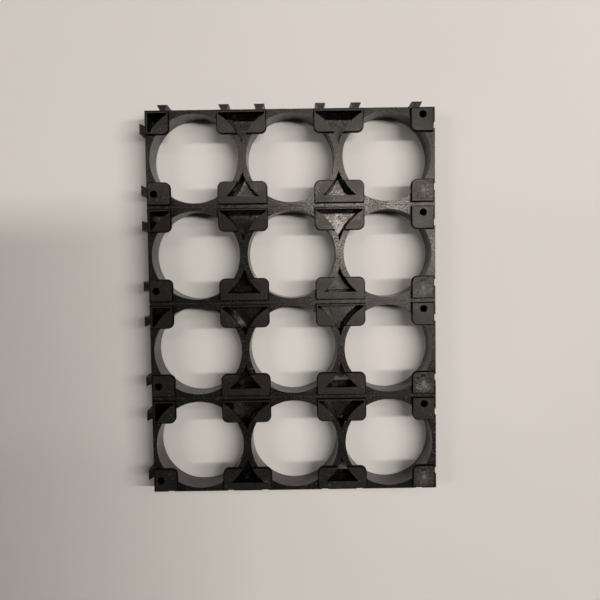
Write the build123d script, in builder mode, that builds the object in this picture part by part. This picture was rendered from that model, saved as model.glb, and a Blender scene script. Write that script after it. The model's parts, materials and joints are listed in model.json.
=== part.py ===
from build123d import *
from math import radians, tan
import os

# Battery cell holder bracket: four strips from one mould, three round cells each, locked edge
# to edge by dovetails into a block of twelve. Millimetres, +Z up. A strip runs along X and the
# strips stand side by side along Y. Cells are pushed in from the underside and stop against
# the corner tabs. The origin is the middle of the outer box, on the underside.

# Cells
cell_diameter = 18.2            # round cell in its sleeve
cell_clearance = 0.4            # bore over cell, on the diameter
cells_in_strip = 3

# Frame of a strip
neck_wall = 1.65                # plastic between two bores where they are nearest
frame_height = 6.8              # underside to the step below the tabs
seam_gap = 0.06                 # between the edges of two locked strips
bore_lead_in = 0.3              # chamfer at the mouth of a bore

# Corner tabs that stop the cells
tab_thickness = 1.0
tab_gap = 9.8                   # clear width between two tabs across a cell
tab_corner_radius = 1.3
tab_edge_break = 0.2            # round the top of each tab
tab_setback_dovetail = 0.3      # tab back from the edges that carry dovetails
tab_setback_slot = 0.42         # and from the edges that have slots

# Pockets that core out the plastic between the bores
pocket_floor = 0.9
pocket_draft = 3.6              # degrees that each wall leans back from the floor
pocket_ring = 1.1               # wall left round each bore
pocket_rim = 0.4                # tab left beside a pocket, along the gap between the tabs
pocket_wall = 0.75              # wall left at the edges that carry dovetails
slot_web = 0.85                 # wall left behind a slot

# Dovetails, two for each cell on the back edge and two on the left edge
dovetail_spread = 12.8          # between the two of a cell
dovetail_neck = 1.05
dovetail_width = 2.2
dovetail_depth = 1.15
dovetail_drop = 0.12            # top of a dovetail below the top of the frame
dovetail_root = 0.4             # foot of a dovetail inside its own strip
dovetail_clearance = 0.08       # round a dovetail in its slot

# Pilot holes for tie screws, in the two corners where a dovetail edge meets a slot edge
screw_hole_diameter = 1.55
screw_from_dovetail_edge = 1.7
screw_from_slot_edge = 2.7

# Moulding gate, a shallow dish in the corner where two slot edges meet. It sank in on one strip.
gate_dish_diameter = 3.8
gate_dish_depths = (0.1, 0.28, 0.1, 0.1)        # a strip for each, from the front to the back
gate_from_edge = 2.75
gate_stub_diameter = 0.7
gate_stub_height = 0.08

# Worked out from the sizes above
bore_radius = (cell_diameter + cell_clearance) / 2
cell_pitch = 2 * bore_radius + neck_wall
edge_distance = (cell_pitch - seam_gap) / 2         # cell axis to the edge of its strip
half_length = cell_pitch * (cells_in_strip - 1) / 2 + edge_distance
overall_height = frame_height + tab_thickness
end_cell = half_length - edge_distance              # strip's middle to the axis of an end cell
slot_depth = dovetail_depth - seam_gap + dovetail_clearance
pocket_depth = overall_height - pocket_floor
ring_radius = bore_radius + pocket_ring             # outside the ring round a bore, at the top
ring_lean = pocket_depth * tan(radians(pocket_draft))


def dovetail_profile():
    # Plan of one dovetail: neck on the strip's edge at y = 0, wide end outwards.
    with BuildSketch(mode=Mode.PRIVATE) as profile:
        with BuildLine():
            Polyline(
                (-dovetail_neck / 2, -dovetail_root),
                (-dovetail_neck / 2, 0),
                (-dovetail_width / 2, dovetail_depth),
                (dovetail_width / 2, dovetail_depth),
                (dovetail_neck / 2, 0),
                (dovetail_neck / 2, -dovetail_root),
                close=True,
            )
        make_face()
    return profile.sketch


def dovetail_places(back_edge, left_edge):
    # Where a strip's dovetails stand: along a line y = back_edge and along x = left_edge.
    half_spread = dovetail_spread / 2
    places = []
    for cell in range(cells_in_strip):
        cell_x = cell * cell_pitch - end_cell
        places.append(Location((cell_x - half_spread, back_edge, 0)))
        places.append(Location((cell_x + half_spread, back_edge, 0)))
    for along in (-half_spread, half_spread):
        places.append(Location((left_edge, along, 0), (0, 0, 90)))
    return places


def tab_plan():
    # Eight square tabs: the whole top less a cross over each cell, inner corners rounded.
    length = 2 * half_length - tab_setback_dovetail - tab_setback_slot
    width = 2 * edge_distance - tab_setback_dovetail - tab_setback_slot
    shift = (tab_setback_dovetail - tab_setback_slot) / 2
    with BuildSketch(mode=Mode.PRIVATE) as tabs:
        with Locations((shift, -shift)):
            Rectangle(length, width)
        Rectangle(2 * half_length, tab_gap, mode=Mode.SUBTRACT)
        with GridLocations(cell_pitch, cell_pitch, cells_in_strip, 1):
            Rectangle(tab_gap, 2 * edge_distance, mode=Mode.SUBTRACT)
        rows = tabs.vertices().group_by(Axis.Y)
        inner = rows[1].sort_by(Axis.X)[1:-1] + rows[2].sort_by(Axis.X)[1:-1]
        fillet(inner, radius=tab_corner_radius)
    return tabs.sketch


def core_plan():
    # Tops of the cores that leave the pockets: one from back to front between two bores, which
    # the rings round the bores part in two, and one in the back left corner.
    side = tab_gap / 2 + pocket_rim                 # cell axis to the near side of a pocket
    back = edge_distance - pocket_wall
    front = -(edge_distance - slot_depth - slot_web)
    with BuildSketch(mode=Mode.PRIVATE) as cores:
        with GridLocations(cell_pitch, cell_pitch, cells_in_strip - 1, 1):
            with Locations((0, (back + front) / 2)):
                Rectangle(cell_pitch - 2 * side, back - front)
        with Locations((-end_cell - (back + side) / 2, (back + side) / 2)):
            Rectangle(back - side, back - side)
    return cores.sketch


dovetail = dovetail_profile()
dovetail_slot = offset(dovetail, amount=dovetail_clearance, kind=Kind.INTERSECTION, mode=Mode.PRIVATE)
tabs_outline = tab_plan()
cores_outline = core_plan()

# The cores themselves, narrower towards the floor, with a ring cut away round each bore
with BuildPart(Plane.XY.offset(pocket_floor)) as pocket_cores:
    with BuildSketch(Plane.XY.offset(overall_height)):
        add(cores_outline)
    extrude(amount=-pocket_depth, taper=pocket_draft)
    with GridLocations(cell_pitch, cell_pitch, cells_in_strip, 1):
        Cone(
            bottom_radius=ring_radius + ring_lean,
            top_radius=ring_radius,
            height=pocket_depth,
            align=(Align.CENTER, Align.CENTER, Align.MIN),
            mode=Mode.SUBTRACT,
        )


def build_strip(label, ground, gate_dish_depth):
    # One moulding, on its own ground plane with the origin under the strip's middle.
    with BuildPart(ground) as strip:
        # Frame block with its bores
        with BuildSketch(ground):
            Rectangle(2 * half_length, 2 * edge_distance)
        extrude(amount=frame_height)
        with GridLocations(cell_pitch, cell_pitch, cells_in_strip, 1):
            Hole(bore_radius)
        mouths = strip.edges().filter_by(GeomType.CIRCLE).group_by(Axis.Z)[0]
        chamfer(mouths, length=bore_lead_in)

        # Slots, each where a locked neighbour's dovetail stands
        with BuildSketch(ground):
            with Locations(*dovetail_places(-edge_distance - seam_gap, half_length + seam_gap)):
                add(dovetail_slot)
        extrude(amount=frame_height, mode=Mode.SUBTRACT)

        # Tabs over the frame, their top edges broken, and the pockets sunk through both
        with BuildSketch(ground.offset(frame_height)):
            add(tabs_outline)
        extrude(amount=tab_thickness)
        chamfer(strip.edges().group_by(Axis.Z)[-1], length=tab_edge_break)
        add(pocket_cores.part, mode=Mode.SUBTRACT)

        # Dovetails
        with BuildSketch(ground):
            with Locations(*dovetail_places(edge_distance, -half_length)):
                add(dovetail)
        extrude(amount=frame_height - dovetail_drop)

        # Pilot holes right through the two solid corners
        near = edge_distance - screw_from_slot_edge
        far = edge_distance - screw_from_dovetail_edge
        with Locations((end_cell + near, far, overall_height), (-end_cell - far, -near, overall_height)):
            Hole(screw_hole_diameter / 2)

        # Dish and stub of the moulding gate
        dish_radius = ((gate_dish_diameter / 2) ** 2 + gate_dish_depth**2) / (2 * gate_dish_depth)
        gate = edge_distance - gate_from_edge
        with Locations((end_cell + gate, -gate, overall_height - gate_dish_depth)):
            with Locations((0, 0, dish_radius)):
                Sphere(dish_radius, mode=Mode.SUBTRACT)
            Cylinder(gate_stub_diameter / 2, 2 * gate_stub_height)
    strip.part.label = label
    return strip


# The back and left dovetails stand out of the block, so its middle lies off the cells' middle.
os.makedirs("parts", exist_ok=True)
strips_in_block = len(gate_dish_depths)
for number, gate_dish_depth in enumerate(gate_dish_depths, start=1):
    strip_y = (number - (strips_in_block + 1) / 2) * cell_pitch - dovetail_depth / 2
    ground = Plane((dovetail_depth / 2, strip_y, 0))
    cell_strip = build_strip(f"cell_strip_{number}", ground, gate_dish_depth)
    export_step(cell_strip.part, f"parts/{cell_strip.part.label}.step")
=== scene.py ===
import json
import math

import bpy
from mathutils import Euler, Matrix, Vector


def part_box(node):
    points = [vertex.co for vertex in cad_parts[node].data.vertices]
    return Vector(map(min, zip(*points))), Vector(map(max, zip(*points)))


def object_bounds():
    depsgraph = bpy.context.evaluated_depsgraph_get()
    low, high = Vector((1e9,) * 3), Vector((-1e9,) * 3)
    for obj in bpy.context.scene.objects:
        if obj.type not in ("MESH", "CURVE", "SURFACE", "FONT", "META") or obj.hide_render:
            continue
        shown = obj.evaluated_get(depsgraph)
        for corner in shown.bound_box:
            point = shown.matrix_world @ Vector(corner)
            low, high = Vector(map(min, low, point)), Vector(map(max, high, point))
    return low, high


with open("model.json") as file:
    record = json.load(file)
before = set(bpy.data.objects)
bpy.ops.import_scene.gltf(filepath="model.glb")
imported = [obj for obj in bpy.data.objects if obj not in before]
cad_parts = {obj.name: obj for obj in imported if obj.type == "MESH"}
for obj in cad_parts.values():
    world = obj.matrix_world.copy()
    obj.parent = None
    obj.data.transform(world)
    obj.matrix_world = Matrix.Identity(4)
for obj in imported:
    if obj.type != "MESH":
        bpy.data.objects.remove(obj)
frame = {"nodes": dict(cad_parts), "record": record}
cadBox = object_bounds()
print("frame loaded:", len(frame["nodes"]), "strips")

scene = bpy.context.scene
scene.view_settings.view_transform = "Standard"

mm = 0.001
blockTop = cadBox[1].z


# Camera: held over the block, tilted a little off plumb
cameraSetup = {
    "place": (0.00170, 0.00668, 0.14043),
    "tilt": (-2.927, -0.194, -0.839),       # degrees, about x, then y, then z
    "lens": 37.85,
    "sensor": 36.0,
    "nearest": 0.005,
}


def addCamera(setup):
    lens = bpy.data.cameras.new("camera")
    lens.lens = setup["lens"]
    lens.sensor_width = setup["sensor"]
    lens.clip_start = setup["nearest"]
    camera = bpy.data.objects.new("camera", lens)
    camera.rotation_mode = "ZYX"
    camera.location = setup["place"]
    camera.rotation_euler = Euler([math.radians(angle) for angle in setup["tilt"]], "ZYX")
    scene.collection.objects.link(camera)
    scene.camera = camera


addCamera(cameraSetup)
print("camera ready")


# Level sheet with its corners on a rectangle, for the flag and the floor
def addSheet(name, low, high, height, faceUp):
    (left, front), (right, back) = low, high
    outline = [(left, front), (right, front), (right, back), (left, back)]
    mesh = bpy.data.meshes.new(name)
    corners = [(x, y, height) for x, y in outline]
    mesh.from_pydata(corners, [], [(0, 1, 2, 3) if faceUp else (3, 2, 1, 0)])
    sheet = bpy.data.objects.new(name, mesh)
    scene.collection.objects.link(sheet)
    return sheet


# Light: a row of tubes overhead along x and a fainter one behind. What gloss sees of the front
# row is three short tubes; the soft light that draws the shadows comes mostly from the right.
tubeSetup = {
    "colours": {"sheen": (1.0, 0.89, 0.78), "soft": (1.0, 0.945, 0.88)},
    "height": 0.740,
    "width": 0.045,
    "sheen": {                              # each tube's x from and to, its y, and its power
        "leftSheen": (-0.85, -0.45, 0.066, 1.25),
        "middleSheen": (-0.05, 0.22, 0.066, 1.50),
        "rightSheen": (0.45, 0.80, 0.066, 1.85),
    },
    "soft": {
        "frontRight": (0.09, 0.85, 0.080, 7.3),
        "frontLeft": (-0.80, -0.40, 0.080, 1.6),
        "backRow": (-0.30, 1.00, 0.286, 1.5),
    },
}
fillSetup = {
    "colour": (1.0, 0.95, 0.89),
    "strength": 0.02,
    "sheenStrength": 0.08,                  # what gloss sees where there is no lamp
}

# Dark flag level with the camera, to its left and front: it holds the tubes off that side
flagSetup = {
    "low": (-0.058, -0.130),
    "high": (0.012, 0.0305),
    "height": 0.146,
    "colour": (0.04, 0.04, 0.041),
}


def addLamp(name, colour, power, sides, place):
    light = bpy.data.lights.new(name, "AREA")
    light.shape = "RECTANGLE"
    light.size, light.size_y = sides
    light.energy = power
    light.color = colour
    lamp = bpy.data.objects.new(name, light)
    lamp.location = place
    scene.collection.objects.link(lamp)
    return lamp


def addTubes(setup):
    for use in ("sheen", "soft"):
        colour = setup["colours"][use]
        for name, (start, stop, across, power) in setup[use].items():
            place = ((start + stop) / 2, across, setup["height"])
            tube = addLamp(name, colour, power, (stop - start, setup["width"]), place)
            tube.visible_diffuse = use == "soft"
            tube.visible_glossy = use == "sheen"


def addFill(setup):
    world = bpy.data.worlds.new("softFill")
    world.use_nodes = True
    nodes, links = world.node_tree.nodes, world.node_tree.links
    nodes.clear()
    output = nodes.new("ShaderNodeOutputWorld")
    path = nodes.new("ShaderNodeLightPath")
    mix = nodes.new("ShaderNodeMixShader")
    links.new(path.outputs["Is Glossy Ray"], mix.inputs[0])
    for index, strength in enumerate((setup["strength"], setup["sheenStrength"])):
        background = nodes.new("ShaderNodeBackground")
        background.inputs["Color"].default_value = (*setup["colour"], 1)
        background.inputs["Strength"].default_value = strength
        links.new(background.outputs[0], mix.inputs[1 + index])
    links.new(mix.outputs[0], output.inputs["Surface"])
    scene.world = world


def addFlag(setup):
    flag = addSheet("flag", setup["low"], setup["high"], setup["height"], faceUp=False)
    material = bpy.data.materials.new("flagGlow")
    material.use_nodes = True
    nodes, links = material.node_tree.nodes, material.node_tree.links
    nodes.clear()
    output = nodes.new("ShaderNodeOutputMaterial")
    # The flag's faint glow is painted light, the dim underside that gloss sees above the block
    glow = nodes.new("ShaderNodeEmission")
    glow.inputs["Color"].default_value = (*setup["colour"], 1)
    links.new(glow.outputs[0], output.inputs["Surface"])
    flag.data.materials.append(material)
    flag.visible_camera = False


addTubes(tubeSetup)
addFill(fillSetup)
addFlag(flagSetup)
print("light ready")


# Small helpers for shader trees. A value is either a number or another node's socket.
def feed(tree, socket, value):
    if isinstance(value, bpy.types.NodeSocket):
        tree.links.new(value, socket)
    else:
        socket.default_value = value


def addNode(tree, kind, settings=None, **sockets):
    node = tree.nodes.new(kind)
    for name, value in (settings or {}).items():
        setattr(node, name, value)
    for name, value in sockets.items():
        feed(tree, node.inputs[name.replace("_", " ")], value)
    return node


def maths(tree, operation, first, second=0.0, clamp=False):
    node = addNode(tree, "ShaderNodeMath", {"operation": operation, "use_clamp": clamp})
    feed(tree, node.inputs[0], first)
    feed(tree, node.inputs[1], second)
    return node.outputs[0]


def vectorMaths(tree, operation, first, second=(0.0, 0.0, 0.0)):
    node = addNode(tree, "ShaderNodeVectorMath", {"operation": operation})
    feed(tree, node.inputs[0], first)
    feed(tree, node.inputs[1], second)
    return node.outputs["Value"]


def remap(tree, value, fromRange, toRange=(0.0, 1.0)):
    node = addNode(
        tree, "ShaderNodeMapRange", {"interpolation_type": "SMOOTHSTEP"}, Value=value,
        From_Min=fromRange[0], From_Max=fromRange[1], To_Min=toRange[0], To_Max=toRange[1],
    )
    return node.outputs["Result"]


def mixColours(tree, factor, first, second):
    node = addNode(tree, "ShaderNodeMix", {"data_type": "RGBA"})
    for index, value in ((0, factor), (6, first), (7, second)):     # its sockets for colours
        feed(tree, node.inputs[index], value)
    return node.outputs[2]


# Noise with features of about the given size, in millimetres
def noiseOf(tree, place, size, **look):
    scale = maths(tree, "DIVIDE", 1.0 / mm, size)
    return addNode(tree, "ShaderNodeTexNoise", Vector=place, Scale=scale, **look).outputs["Fac"]


# Empty group with its named inputs and outputs, and the place on the surface that it works from
def newGroup(name, inputs, outputs):
    group = bpy.data.node_groups.new(name, "ShaderNodeTree")
    for label, default in inputs.items():
        socket = group.interface.new_socket(label, in_out="INPUT", socket_type="NodeSocketFloat")
        socket.default_value = default
    for label in outputs:
        group.interface.new_socket(label, in_out="OUTPUT", socket_type="NodeSocketFloat")
    given = group.nodes.new("NodeGroupInput").outputs
    made = group.nodes.new("NodeGroupOutput").inputs
    place = addNode(group, "ShaderNodeTexCoord").outputs["Object"]
    return group, given, made, place


def placeGroup(tree, group, **values):
    node = addNode(tree, "ShaderNodeGroup", {"node_tree": group})
    for name, value in values.items():
        node.inputs[name].default_value = value
    return node.outputs


# Moulded grain: the fine skin of the tool, slow cloudiness under it, and glints between them
grainSetup = {
    "inputs": {"Grain Size": 0.12, "Cloud Size": 4.0, "Glint Size": 0.34},
    "glintRange": (0.36, 0.64),
}


def makeGrain(setup):
    outputs = ("Grain", "Cloud", "Glints")
    group, given, made, place = newGroup("mouldedGrain", setup["inputs"], outputs)
    grain = noiseOf(group, place, given["Grain Size"], Detail=2.0, Roughness=0.55)
    cloud = noiseOf(group, place, given["Cloud Size"], Detail=3.0, Roughness=0.5)
    glints = noiseOf(group, place, given["Glint Size"], Detail=2.0, Roughness=0.6)
    group.links.new(grain, made["Grain"])
    group.links.new(cloud, made["Cloud"])
    group.links.new(remap(group, glints, setup["glintRange"], (-1.0, 1.0)), made["Glints"])
    return group


# Dust and scuffs: pale specks and short smears that gather in patches
dustSetup = {
    "inputs": {"Speck Size": 0.35, "Amount": 0.5, "Patch Size": 7.0},
    "speckRange": (0.55, 0.72),
    "patchRange": (0.38, 0.62),
}


def makeDust(setup):
    group, given, made, place = newGroup("dustAndScuffs", setup["inputs"], ("Mask",))
    specks = noiseOf(group, place, given["Speck Size"], Detail=4.0, Roughness=0.65)
    patches = noiseOf(group, place, given["Patch Size"], Detail=2.0)
    speckMask = remap(group, specks, setup["speckRange"])
    patchMask = remap(group, patches, setup["patchRange"])
    both = maths(group, "MULTIPLY", speckMask, patchMask)
    group.links.new(maths(group, "MULTIPLY", both, given["Amount"], clamp=True), made["Mask"])
    return group


# Worn edges, partly real wear and partly painted highlight: how far the rounded normal leans from
# the flat one, broken up by noise
edgeWearAndHighlightSetup = {
    "inputs": {"Width": 0.12, "Amount": 1.0},
    "leanRange": (0.02, 0.25),
    "breakScale": 1400.0,
    "breakRange": (0.35, 0.6),
    "leastWearAndHighlight": 0.3,                       # what is left of the wear and painted highlight where the noise breaks it
}


def makeEdgeWearAndHighlight(setup):
    group, given, made, place = newGroup("edgeWearAndHighlight", setup["inputs"], ("Mask",))
    width = maths(group, "MULTIPLY", given["Width"], mm)
    rounded = addNode(group, "ShaderNodeBevel", {"samples": 4}, Radius=width).outputs[0]
    flat = addNode(group, "ShaderNodeNewGeometry").outputs["Normal"]
    likeness = vectorMaths(group, "DOT_PRODUCT", rounded, flat)
    edge = remap(group, maths(group, "SUBTRACT", 1.0, likeness), setup["leanRange"])
    scale = setup["breakScale"]
    noise = addNode(group, "ShaderNodeTexNoise", Vector=place, Scale=scale, Detail=3.0)
    breaks = remap(group, noise.outputs["Fac"], setup["breakRange"], (setup["leastWearAndHighlight"], 1.0))
    broken = maths(group, "MULTIPLY", edge, breaks)
    group.links.new(maths(group, "MULTIPLY", broken, given["Amount"], clamp=True), made["Mask"])
    return group


# Drag marks: fine streaks drawn up the walls as the part left the tool
dragSetup = {
    "inputs": {"Streak Width": 0.25},
    "squash": (1.0, 1.0, 0.06),             # what place is multiplied by, so z hardly counts
}


def makeDragMarks(setup):
    group, given, made, place = newGroup("dragMarks", setup["inputs"], ("Streaks",))
    drawn = addNode(group, "ShaderNodeMapping", Vector=place, Scale=setup["squash"]).outputs[0]
    group.links.new(noiseOf(group, drawn, given["Streak Width"], Detail=3.0), made["Streaks"])
    return group


# Gate burst: the melt's bright core and the fine rays round it, at every pitch along y
burstSetup = {
    "inputs": {"Centre X": 0.0, "Centre Y": 0.0, "Pitch": 0.02, "Reach": 2.0},
    "rayTurn": 4.0,                         # how fast the rays change with the angle
    "rayScale": 1.6,
    "rayRange": (0.42, 0.68),
    "fadeRange": (0.1, 1.0),                # as shares of the reach
    "fadeTo": 0.25,
    "coreRange": (0.15, 0.75),              # millimetres from the centre
}


def makeGateBurst(setup):
    group, given, made, place = newGroup("gateBurst", setup["inputs"], ("Mask",))
    parts = addNode(group, "ShaderNodeSeparateXYZ", Vector=place).outputs
    half = maths(group, "MULTIPLY", given["Pitch"], 0.5)
    across = maths(group, "SUBTRACT", parts["X"], given["Centre X"])
    fromFirst = maths(group, "SUBTRACT", parts["Y"], given["Centre Y"])
    shifted = maths(group, "ADD", fromFirst, half)
    wrapped = maths(group, "FLOORED_MODULO", shifted, given["Pitch"])
    along = maths(group, "SUBTRACT", wrapped, half)
    angle = maths(group, "ARCTAN2", along, across)
    fromGate = addNode(group, "ShaderNodeCombineXYZ", X=across, Y=along).outputs[0]
    distance = maths(group, "MULTIPLY", vectorMaths(group, "LENGTH", fromGate), 1.0 / mm)

    turned = maths(group, "MULTIPLY", angle, setup["rayTurn"])
    polar = addNode(group, "ShaderNodeCombineXYZ", X=turned, Y=distance).outputs[0]
    scale = setup["rayScale"]
    noise = addNode(group, "ShaderNodeTexNoise", Vector=polar, Scale=scale, Detail=3.0)
    rays = remap(group, noise.outputs["Fac"], setup["rayRange"])
    share = maths(group, "DIVIDE", distance, given["Reach"])
    fade = remap(group, share, setup["fadeRange"], (1.0, setup["fadeTo"]))
    core = remap(group, distance, setup["coreRange"], (1.0, 0.0))
    fadedRays = maths(group, "MULTIPLY", rays, fade)
    group.links.new(maths(group, "MAXIMUM", fadedRays, core), made["Mask"])
    return group


grainGroup = makeGrain(grainSetup)
dustGroup = makeDust(dustSetup)
wearAndHighlightGroup = makeEdgeWearAndHighlight(edgeWearAndHighlightSetup)
dragGroup = makeDragMarks(dragSetup)
burstGroup = makeGateBurst(burstSetup)
print("node groups ready")


# Black ABS in its finishes, from the skin of the tabs to the polished pockets. A finish takes
# from the first dictionary what it doesn't say itself. Sizes and heights are in millimetres.
anyFinish = {
    "ior": 1.5,
    "specular": 0.5,
    "glints": 0.03,                         # how far the glints move the roughness
    "dulling": 0.25,                        # roughness that dust and wear add
    "cloudRange": (0.3, 0.7),
}
plasticFinishes = {
    "tabSkin": {
        "base": (0.0080, 0.0074, 0.0066), "pale": (0.20, 0.185, 0.165),
        "roughness": (0.33, 0.44), "glints": 0.09, "grainSize": 0.24, "grainHeight": 0.0060,
        "dust": 0.40, "speck": 0.55, "wearAndHighlight": 0.10,
    },
    "gateSkin": {
        "base": (0.0085, 0.0078, 0.0070), "pale": (0.22, 0.20, 0.18),
        "roughness": (0.34, 0.46), "glints": 0.11, "grainSize": 0.24, "grainHeight": 0.0060,
        "dust": 0.50, "speck": 0.60, "wearAndHighlight": 0.10, "burst": 0.65,
    },
    # tabEdgeShade: the tabs' chamfers and sides, darker and duller than their skin, are painted
    # shade that draws the dark outline round each tab
    "tabEdgeShade": {
        "base": (0.0030, 0.0028, 0.0026), "pale": (0.06, 0.055, 0.05),
        "roughness": (0.60, 0.75), "specular": 0.075, "grainSize": 0.20, "grainHeight": 0.0030,
        "dust": 0.10, "speck": 0.30, "wearAndHighlight": 0.0,
    },
    # frameTop: its pale edges along the seams are partly painted highlight, and its pale specks
    # partly painted sparkle
    "frameTop": {
        "base": (0.0045, 0.0041, 0.0038), "pale": (0.26, 0.24, 0.215),
        "roughness": (0.26, 0.33), "glints": 0.055, "grainSize": 0.30, "grainHeight": 0.0060,
        "dust": 0.40, "speck": 0.45, "wearAndHighlight": 0.35,
    },
    "boreWall": {
        "base": (0.0075, 0.0070, 0.0066), "pale": (0.12, 0.118, 0.112),
        "roughness": (0.24, 0.36), "grainSize": 0.20, "grainHeight": 0.0020, "drag": 0.006,
        "dust": 0.08, "speck": 0.40, "wearAndHighlight": 0.15,
    },
    "pocketPolish": {
        "base": (0.0045, 0.0042, 0.0040), "pale": (0.16, 0.15, 0.135),
        "roughness": (0.18, 0.30), "glints": 0.05, "grainSize": 0.62, "grainHeight": 0.0150,
        "drag": 0.004, "dust": 0.22, "speck": 0.60, "wearAndHighlight": 0.30,
    },
    # pinHoleShade: near black and without gloss, painted shade deep inside the tie holes
    "pinHoleShade": {
        "base": (0.0006, 0.0006, 0.0006), "pale": (0.01, 0.01, 0.01),
        "roughness": (0.80, 0.90), "specular": 0.0, "grainSize": 0.20, "grainHeight": 0.0010,
        "dust": 0.0, "speck": 0.30, "wearAndHighlight": 0.0,
    },
    "outerEdge": {
        "base": (0.0075, 0.0070, 0.0064), "pale": (0.15, 0.14, 0.13),
        "roughness": (0.32, 0.44), "grainSize": 0.15, "grainHeight": 0.0040, "drag": 0.003,
        "dust": 0.20, "speck": 0.30, "wearAndHighlight": 0.30,
    },
    "underside": {
        "base": (0.0080, 0.0076, 0.0070), "pale": (0.15, 0.145, 0.14),
        "roughness": (0.36, 0.48), "grainSize": 0.15, "grainHeight": 0.0040,
        "dust": 0.30, "speck": 0.30, "wearAndHighlight": 0.30,
    },
}


def makePlastic(name, ownFinish):
    finish = {**anyFinish, **ownFinish}
    material = bpy.data.materials.new(name)
    material.use_nodes = True
    tree = material.node_tree
    shader = tree.nodes["Principled BSDF"].inputs
    shader["IOR"].default_value = finish["ior"]
    shader["Specular IOR Level"].default_value = finish["specular"]

    # Colour: black, paler where there is dust, wear with painted edge highlight, or the gate's
    # burst
    grain = placeGroup(tree, grainGroup, **{"Grain Size": finish["grainSize"]})
    dust = placeGroup(tree, dustGroup, **{"Speck Size": finish["speck"], "Amount": finish["dust"]})
    wearAndHighlight = placeGroup(tree, wearAndHighlightGroup, **{"Amount": finish["wearAndHighlight"]})
    paleness = maths(tree, "MAXIMUM", dust["Mask"], wearAndHighlight["Mask"])
    if "burst" in finish:
        burst = placeGroup(tree, burstGroup, **gatePlace)["Mask"]
        burst = maths(tree, "MULTIPLY", burst, finish["burst"])
        paleness = maths(tree, "MAXIMUM", paleness, burst)
    colour = mixColours(tree, paleness, (*finish["base"], 1), (*finish["pale"], 1))
    tree.links.new(colour, shader["Base Color"])

    # Gloss: cloudy, with glints, and duller under dust
    cloudy = remap(tree, grain["Cloud"], finish["cloudRange"], finish["roughness"])
    skin = maths(tree, "ADD", cloudy, maths(tree, "MULTIPLY", grain["Glints"], finish["glints"]))
    dulling = maths(tree, "MULTIPLY", paleness, finish["dulling"])
    tree.links.new(maths(tree, "ADD", skin, dulling, clamp=True), shader["Roughness"])

    # Relief: the grain, and drag marks on the walls
    height = maths(tree, "MULTIPLY", grain["Grain"], finish["grainHeight"] * mm)
    if "drag" in finish:
        streaks = placeGroup(tree, dragGroup)["Streaks"]
        height = maths(tree, "ADD", height, maths(tree, "MULTIPLY", streaks, finish["drag"] * mm))
    bump = addNode(tree, "ShaderNodeBump", Height=height, Distance=1.0, Strength=1.0)
    tree.links.new(bump.outputs["Normal"], shader["Normal"])
    return material


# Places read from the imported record: bores, tie holes and, from the bores, the gates
cellsInStrip = 3
gateOffset = 7.345 * mm                     # of a gate from its strip's right-hand bore, in x and y
mounts = frame["record"]["mounts"]
bores = [mount for mount in mounts if mount["name"].startswith("cell_bore")]
tieHoles = [mount for mount in mounts if mount["name"].startswith("tie_hole")]
boreRadius = bores[0]["dims"]["r_mm"] * mm
boreAxes = [Vector(mount["pos_m"][:2]) for mount in bores]
pinAxes = [Vector(mount["pos_m"][:2]) for mount in tieHoles]
cellPitch = boreAxes[1].x - boreAxes[0].x
rightAxes = boreAxes[cellsInStrip - 1::cellsInStrip]
gateCentres = [axis + Vector((gateOffset, -gateOffset)) for axis in rightAxes]
gatePlace = {
    "Centre X": gateCentres[0].x,
    "Centre Y": gateCentres[0].y,
    "Pitch": cellPitch,
    "Reach": 2.6,                           # millimetres
}

plastics = {name: makePlastic(name, finish) for name, finish in plasticFinishes.items()}
finishOrder = list(plastics)
print("plastic finishes ready:", ", ".join(finishOrder))


# Where each finish goes on a strip
faceRules = {
    "upright": 0.3,                         # less of z than this in its normal: a wall
    "level": 0.9,                           # more of z than this: a level face
    "boreReach": 0.25 * mm,                 # how near a bore's radius its wall lies
    "pinReach": 1.0 * mm,
    "gateReach": 2.8 * mm,
    "tabSide": 0.95 * mm,                   # how far down from the very top a tab's sides go
    "tabTop": 0.30 * mm,                    # and its top, with the dish of the gate
    "frameBand": (6.0 * mm, 7.2 * mm),      # heights between which the top of the frame lies
    "rim": 1.0 * mm,                        # how near the strip's own box an outer wall lies
}


def nearest(middle, places):
    return min((middle.xy - place).length for place in places)


def topFinish(middle, normal, rules):
    if middle.z > blockTop - rules["tabTop"]:
        if normal.z < rules["level"]:
            return "tabEdgeShade"
        return "gateSkin" if nearest(middle, gateCentres) < rules["gateReach"] else "tabSkin"
    frameLow, frameHigh = rules["frameBand"]
    return "frameTop" if frameLow < middle.z < frameHigh else "pocketPolish"


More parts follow.
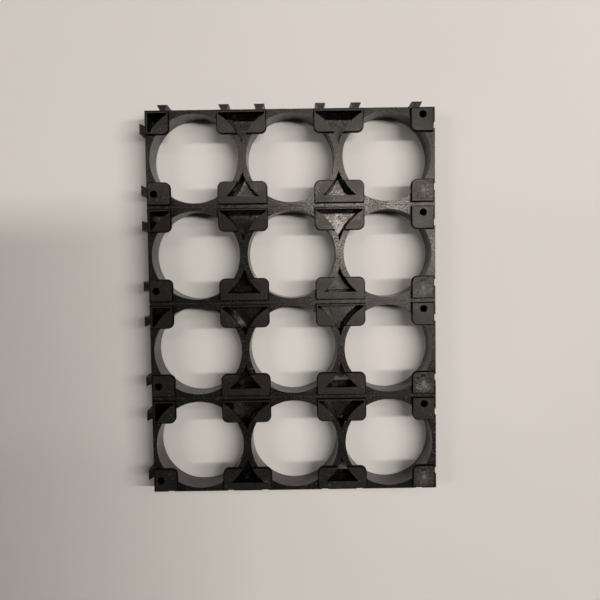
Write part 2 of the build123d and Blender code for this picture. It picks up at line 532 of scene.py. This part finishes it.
def wallFinish(middle, low, high, rules):
    if nearest(middle, pinAxes) < rules["pinReach"]:
        return "pinHoleShade"
    if middle.z > blockTop - rules["tabSide"]:
        return "tabEdgeShade"
    if abs(nearest(middle, boreAxes) - boreRadius) < rules["boreReach"]:
        return "boreWall"
    rim = rules["rim"]
    insideX = low.x + rim < middle.x < high.x - rim
    insideY = low.y + rim < middle.y < high.y - rim
    return "pocketPolish" if insideX and insideY else "outerEdge"


def finishOf(face, low, high, rules):
    if face.normal.z < -rules["upright"]:
        return "underside"
    if face.normal.z > rules["upright"]:
        return topFinish(face.center, face.normal, rules)
    return wallFinish(face.center, low, high, rules)


def dressStrip(name, strip, rules):
    low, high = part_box(name)
    mesh = strip.data
    mesh.materials.clear()
    for finish in finishOrder:
        mesh.materials.append(plastics[finish])
    for face in mesh.polygons:
        face.material_index = finishOrder.index(finishOf(face, low, high, rules))


for name, strip in frame["nodes"].items():
    dressStrip(name, strip, faceRules)
print("strips dressed")


# Floor: a plain pale table
floorSetup = {
    "half": 0.60,
    "drop": 0.02 * mm,                      # under the block, so that the two faces don't fight
    "colour": (0.690, 0.672, 0.665),
    "shade": (0.645, 0.628, 0.620),
    "mottleScale": 25.0,
    "roughness": 0.62,
    "specular": 0.2,
}


def addFloor(setup):
    half, scale = setup["half"], setup["mottleScale"]
    floor = addSheet("floor", (-half, -half), (half, half), -setup["drop"], faceUp=True)
    material = bpy.data.materials.new("paleTable")
    material.use_nodes = True
    tree = material.node_tree
    shader = tree.nodes["Principled BSDF"].inputs
    place = addNode(tree, "ShaderNodeTexCoord").outputs["Object"]
    mottle = addNode(tree, "ShaderNodeTexNoise", Vector=place, Scale=scale, Detail=4.0)
    shade, colour = (*setup["shade"], 1), (*setup["colour"], 1)
    tree.links.new(mixColours(tree, mottle.outputs["Fac"], shade, colour), shader["Base Color"])
    shader["Roughness"].default_value = setup["roughness"]
    shader["Specular IOR Level"].default_value = setup["specular"]
    floor.data.materials.append(material)


addFloor(floorSetup)
print("floor laid")
